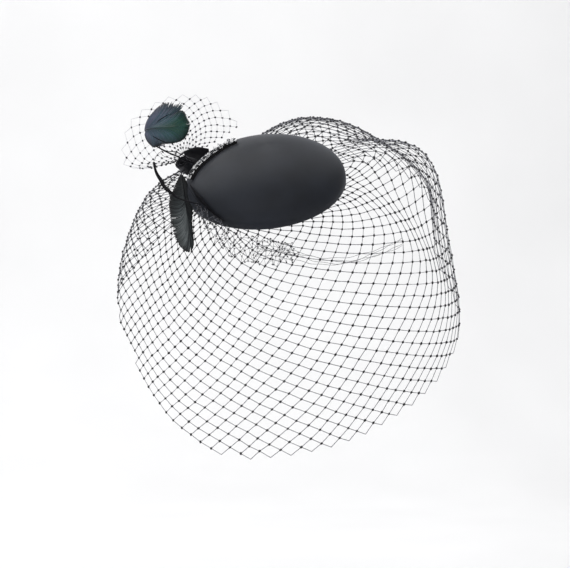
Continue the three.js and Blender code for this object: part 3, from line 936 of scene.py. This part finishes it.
barbLook = {"from": 0.02, "to": 0.5, "clumps": 14, "split": 1.6, "fray": 0.4,
            "ragged": 0.012, "wild": 0, "sweep": 0.5, "spread": 0.3, "cup": 1.5,
            "loose": 0.25, "steps": 9, "width": 1.5}


def makeCurled():
    strands = newStrands()
    addBarbs(strands, curled["shaft"], curled["upper"], 190,
             {**barbLook, "from": 0, "to": 0.24, "ragged": 0.07, "wild": 4, "fray": 1.2,
              "split": 4, "width": 1.3, "sweep": 0.35, "spread": 0.4},
             (0.0, 0.45), 21)
    addBarbs(strands, curled["shaft"], curled["lobe"], 120,
             {**barbLook, "from": 0.2, "to": 0.66, "sweep": 0.3, "spread": 0.4}, (0.42, 0.95), 22)
    addBarbs(strands, curled["shaft"], curled["lower"], 290,
             {**barbLook, "from": 0.0, "to": 0.66, "sweep": 0.45}, (0.1, 0.95), 23)
    addBarbs(strands, curled["stem"], curled["back"], 110,
             {**barbLook, "from": 0.98, "to": 0.62, "sweep": -0.3, "cup": -1}, (0.02, 0.3), 24)
    vane = strandsPiece("curledFeather", strands)
    shaft = stemStrand("curledShaft", curled["shaft"], (0.4, 0.3, 0.14, 0.04, 0.03, 0.03))
    stem = stemStrand("curledStem", curled["stem"], (0.75, 0.8, 0.85, 0.8, 0.6, 0.5, 0.45))
    spare = stemStrand("spareStem", curled["spare"], (0.5, 0.5, 0.45, 0.35, 0.2))
    # thin dark strands draw the shadow where the barbs part and fold under
    creases = [stemStrand("crease", rows, (0.08, 0.4, 0.45, 0.1), 6, 0.4)
               for rows in curled["creases"]]
    return vane, joinInto(shaft, stem, spare, *creases)


hanging = {
    "shaft": ((-81.7, -5, 11.3), (-78.6, -14, -4.7), (-76.3, -20, -19.5), (-74, -26, -34.1),
              (-72.2, -31, -48.5), (-71.6, -35, -62.8)),
    "left": ((-83.1, -5, 10.3), (-86.2, -9, 3.3), (-89.3, -13, -4.7), (-92.3, -17, -13.5),
             (-92.2, -21, -22.4), (-90.3, -25, -35), (-86.6, -30, -48.5), (-81.7, -33, -58.1),
             (-76.3, -35, -63.3), (-72.5, -36, -65)),
    "right": ((-80.2, -5, 10.3), (-75.7, -10, 2.3), (-72.8, -15, -9.6), (-69.9, -21, -23.3),
              (-69.8, -26, -36.9), (-68.5, -31, -49.5), (-68, -34, -58.1), (-70.1, -36, -63.8)),
    "stem": ((-79, 6, 16), (-82, 1, 13.5), (-81.7, -5, 11.3)),
}


def makeHanging():
    strands = newStrands()
    addBarbs(strands, hanging["shaft"], hanging["left"], 300,
             {**barbLook, "from": 0, "to": 0.74, "sweep": 0.7, "spread": 0.2, "clumps": 9,
              "split": 0.7, "fray": 0.8, "ragged": 0.012, "cup": 1, "width": 1.5}, (0.0, 1.0), 31)
    addBarbs(strands, hanging["shaft"], hanging["right"], 170,
             {**barbLook, "from": 0, "to": 0.78, "sweep": 0.7, "spread": 0.25, "clumps": 9,
              "cup": 0.6}, (0.0, 0.35), 32)
    vane = strandsPiece("hangingFeather", strands)
    shaft = stemStrand("hangingShaft", hanging["shaft"], (0.5, 0.4, 0.3, 0.2, 0.12, 0.06))
    stem = stemStrand("hangingStem", hanging["stem"], (0.6, 0.6, 0.6), steps=8)
    return vane, joinInto(shaft, stem)


# Stripped quills: one curls out to the left and keeps some short barbs, one lies along the
# cap's edge
curl = {
    "line": ((-108.6, -4, 23), (-107.8, -5, 19), (-105.5, -8, 12), (-100.8, -13, 4.4),
             (-96.6, -18, -2.7), (-89.8, -24, -8.2), (-84.4, -28, -12.7), (-76.2, -36, -16),
             (-68.7, -43, -18.3), (-60.6, -46, -20.4)),
    "half": (1.15, 1.15, 1.5, 1.9, 1.75, 1.35, 1.0, 0.85, 0.75, 0.5),
    "barbs": 90, "first": 0.22, "stretch": 0.4, "barbHalf": (0.16, 0.12, 0.04),
}
blade = {
    "route": ((189, 0.915), (198, 0.911), (208, 0.92), (217, 0.935), (227, 0.967), (238, 0.995)),
    "half": (0.6, 1.3, 2.3, 1.9, 1.3, 0.7), "stand": 2,
}


def makeCurl():
    quill = stemStrand("curlQuill", curl["line"], curl["half"], 8, 0.35, 40)
    strands = newStrands()
    picker = random.Random(41)
    widths = [half * mm for half in curl["barbHalf"]]
    for k in range(curl["barbs"]):
        share = curl["first"] + curl["stretch"] * k / curl["barbs"]
        start = sideLine(curl["line"], share)
        ahead = sideLine(curl["line"], share + 0.02) - start
        out = frontward.cross(ahead).normalized()
        span = picker.uniform(1.6, 3.4) * mm * math.sin(math.pi * k / curl["barbs"])
        end = start + (out + ahead.normalized() * -0.9) * span
        middle = (start + end) / 2 + out * 0.25 * mm
        addStrand(strands, [start, middle, end], widths, frontward, 0.5, 4)
    return joinInto(quill, strandsPiece("curlBarbs", strands))


def makeBlade():
    strands = newStrands()
    points, widths = [], []
    for k in range(41):
        place = k / 40 * (len(blade["route"]) - 1)
        turn, out = smoothRow(blade["route"], place)
        points.append(capFrame @ ((crownPoint(turn, min(out, 1))
                                   + crownNormal(turn, out) * blade["stand"]) * mm))
        widths.append(smoothValue(blade["half"], place) * mm)
    middle = capDirection(*crownNormal(205, 0.97))
    addStrand(strands, points, widths, middle, 0.35, 8)
    bare = []
    for k in range(21):
        place = k / 20 * 2.6
        turn, out = smoothRow(blade["route"], place)
        shifted = crownPoint(turn, min(out + 0.03, 1)) + crownNormal(turn, out) * 1.6
        bare.append(capFrame @ (shifted * mm))
    addStrand(strands, bare, [0.22 * mm] * 21, middle, 1, 6)
    return strandsPiece("edgeQuill", strands)


# Very fine filaments that spring from the trim, with their radius
filaments = (
    (((-108.5, -4, 23.9), (-107.7, 0, 25.7), (-106.9, 2, 28.8), (-104.6, 4, 31.9),
      (-100.9, 6, 34.5), (-97.6, 8, 34.6)), 0.26),
    (((-102.7, 10, 32.9), (-100.2, 10, 29.9), (-95.8, 10, 28.5), (-92.9, 10, 27),
      (-90, 10, 24.1), (-88, 10, 20.2)), 0.2),
)


def makeFilaments():
    first, *others = [stemStrand("trimFilaments", rows, (radius, radius, radius))
                      for rows, radius in filaments]
    return joinInto(first, *others)


# Dyed feather barbs: keratin with a satin gloss, each a shade of its own. The barb attribute
# holds the tone along the vane, the place along the barb and a random number
def featherMaterial(name, stops, dark, roughness, sheen):
    material, tree, shader = newMaterial(name, **{
        "Roughness": roughness, "Sheen Weight": sheen, "Sheen Roughness": 0.35,
        "Specular IOR Level": 0.35})
    barb = addNode(tree, "ShaderNodeAttribute", attribute_name="barb")
    parts = addNode(tree, "ShaderNodeSeparateXYZ", links={"Vector": barb.outputs["Vector"]})
    tones = addNode(tree, "ShaderNodeMath", {1: 0.3, 2: -0.12}, {0: parts.outputs["Z"]},
                    operation="MULTIPLY_ADD")
    shifted = addNode(tree, "ShaderNodeMath", links={0: parts.outputs["X"], 1: tones.outputs[0]},
                      operation="ADD")
    ramp = addNode(tree, "ShaderNodeValToRGB", links={"Fac": shifted.outputs[0]})
    setRamp(ramp, stops)
    edge = addNode(tree, "ShaderNodeValToRGB", links={"Fac": parts.outputs["Y"]})
    setRamp(edge, ((0.0, "d0d0d0"), (0.55, "ffffff"), (0.9, "b0b0b0"), (1.0, dark)))
    mixed = addNode(tree, "ShaderNodeMix", data_type="RGBA", blend_type="MULTIPLY")
    mixed.inputs["Factor"].default_value = 1.0
    tree.links.new(ramp.outputs["Color"], mixed.inputs[6])
    tree.links.new(edge.outputs["Color"], mixed.inputs[7])
    tree.links.new(mixed.outputs[2], shader.inputs["Base Color"])
    return material


# Stripped and dyed feather quill: smooth dull horn, slightly mottled by the dye
def quillMaterial():
    material, tree, shader = newMaterial("quill_stripped_dyed", **{
        "Roughness": 0.6, "Specular IOR Level": 0.08})
    speckle(tree, shader, ((0.35, "08080a"), (0.7, "14141a")), Scale=350.0, Detail=2.0)
    return material


iridescent = featherMaterial("feather_iridescent_dyed", (
    (0.0, "6a6678"), (0.25, "5a6074"), (0.5, "355460"), (0.75, "1f4b48"), (1.0, "1f4a38")),
    "141a1c", 0.36, 0.25)
downy = featherMaterial("feather_downy_dyed", (
    (0.0, "04070a"), (0.3, "10171b"), (0.5, "3a4143"), (0.75, "6a7071"), (1.0, "2a2f32")),
    "4a4f52", 0.65, 0.12)
quillHorn = quillMaterial()
curledVane, curledStems = makeCurled()
finishPiece(curledVane, iridescent, "iridescent_feather", "curled_feather")
finishPiece(curledStems, quillHorn, "quill", "curled_feather")
hangingVane, hangingStems = makeHanging()
finishPiece(hangingVane, downy, "downy_feather", "hanging_feather")
finishPiece(hangingStems, quillHorn, "quill", "hanging_feather")
finishPiece(makeCurl(), quillHorn, "quill", "curl_quill_feather")
finishPiece(makeBlade(), quillHorn, "quill", "edge_quill_feather")
finishPiece(makeFilaments(), quillHorn, "quill")
print("feathers made")

# Comb: a rounded spine with tapered teeth, flat under the cap's mouth
comb = {"width": 46, "spine": 5, "teeth": 11, "length": 30, "thick": 1.6, "y": 53, "z": 4}


def makeComb():
    deselectAll()
    bpy.ops.mesh.primitive_cube_add(size=1)
    spine = bpy.context.object
    spine.name = "hairComb"
    spine.scale = (comb["width"] * mm, comb["spine"] * mm, comb["thick"] * mm)
    makeActive(spine)
    bpy.ops.object.transform_apply(location=True, rotation=True, scale=True)
    applyModifier(spine, "BEVEL", width=0.6 * mm, segments=3)
    teeth = []
    longTooth = comb["length"] - comb["spine"]
    for k in range(comb["teeth"]):
        x = (k / (comb["teeth"] - 1) - 0.5) * (comb["width"] - 2.2)
        deselectAll()
        bpy.ops.mesh.primitive_cone_add(vertices=10, radius1=0.75 * mm, radius2=0.4 * mm,
                                        depth=longTooth * mm,
                                        rotation=(math.radians(90), 0, 0),
                                        location=(x * mm, -(comb["spine"] + longTooth) / 2 * mm, 0))
        tooth = bpy.context.object
        applyModifier(tooth, "BEVEL", width=0.3 * mm, segments=2, limit_method="ANGLE")
        teeth.append(tooth)
    joinInto(spine, *teeth)
    faceOut(spine)
    smoothShade(spine, 40)
    shift = (0, comb["y"] - comb["spine"] / 2, comb["z"] + comb["thick"] / 2)
    placeIn(spine, capFrame @ Matrix.Translation(Vector(shift) * mm))
    return spine


# Moulded celluloid: smooth, with a clear gloss
def combMaterial():
    material, tree, shader = newMaterial("celluloid_comb_moulded", **{
        "Roughness": 0.25, "Coat Weight": 0.3})
    speckle(tree, shader, ((0.3, "0c0c0e"), (0.7, "17171a")), Scale=120.0)
    return material


finishPiece(makeComb(), combMaterial(), "comb", "hair_comb")
print("comb made")

# Gathered fold of the net that runs under the cap's low edge and out across the front
bunch = {"line": ((-65.8, -36, -23.1), (-50.2, -46, -40.5), (-31.1, -56, -56.8),
                  (-9.5, -62, -63.4), (11.9, -64, -64.4), (26, -64, -66)),
         "half": (4, 11, 14, 13, 11, 8), "columns": 44, "rows": 7}
# Loose threads that go on from it across the front: shift up, sag and shift forwards
looseThreads = {"line": ((-9.5, -62, -63.4), (11.9, -64, -64.4), (32.4, -64, -68.1),
                         (51, -60, -72.2), (74.7, -50, -72.6), (96.8, -40, -67.7),
                         (116.5, -28, -60.8), (130.6, -18, -54.8)),
                "shifts": ((4, 0, 0), (1.5, 3, 1), (-1.5, -2, 0.5), (-4, 4, -1)), "half": 0.24}


def makeBunch():
    places, picker = {}, random.Random(51)
    for line in range(bunch["columns"]):
        share = line / (bunch["columns"] - 1)
        centre = smoothRow(bunch["line"], share * (len(bunch["line"]) - 1))
        half = smoothValue(bunch["half"], share * (len(bunch["half"]) - 1))
        for row in range(line % 2, bunch["rows"] + 1, 2):
            lift = (row / bunch["rows"] - 0.5) * 2 * half
            messy = min(half, 6) * 0.3
            places[line, row] = sidePoint(centre[0] + picker.gauss(0, messy),
                                          centre[1] + picker.gauss(0, messy) + 0.2 * lift,
                                          centre[2] + lift + picker.gauss(0, messy))
    folded = makeNet("gatheredNet", places, set(), lambda key, a, b: (key[0] + a, key[1] + b),
                     lambda key: frontward, bunchThread, 13)
    strands = newStrands()
    for rise, sag, forward in looseThreads["shifts"]:
        points = []
        for k in range(61):
            x, y, z = smoothRow(looseThreads["line"], k / 60 * (len(looseThreads["line"]) - 1))
            z += rise * math.cos(k / 60 * math.pi) - sag * math.sin(k / 60 * math.pi)
            points.append(sidePoint(x, y - forward, z + 0.5 * math.sin(k * 0.7 + rise)))
        addStrand(strands, points, [looseThreads["half"] * mm] * 61, frontward)
    loose = markAll(strandsPiece("looseThreads", strands), "knot", 0.3)
    return joinInto(folded, loose)


gathered = finishPiece(makeBunch(), nylonNet, "net")
print("gathered fold made")
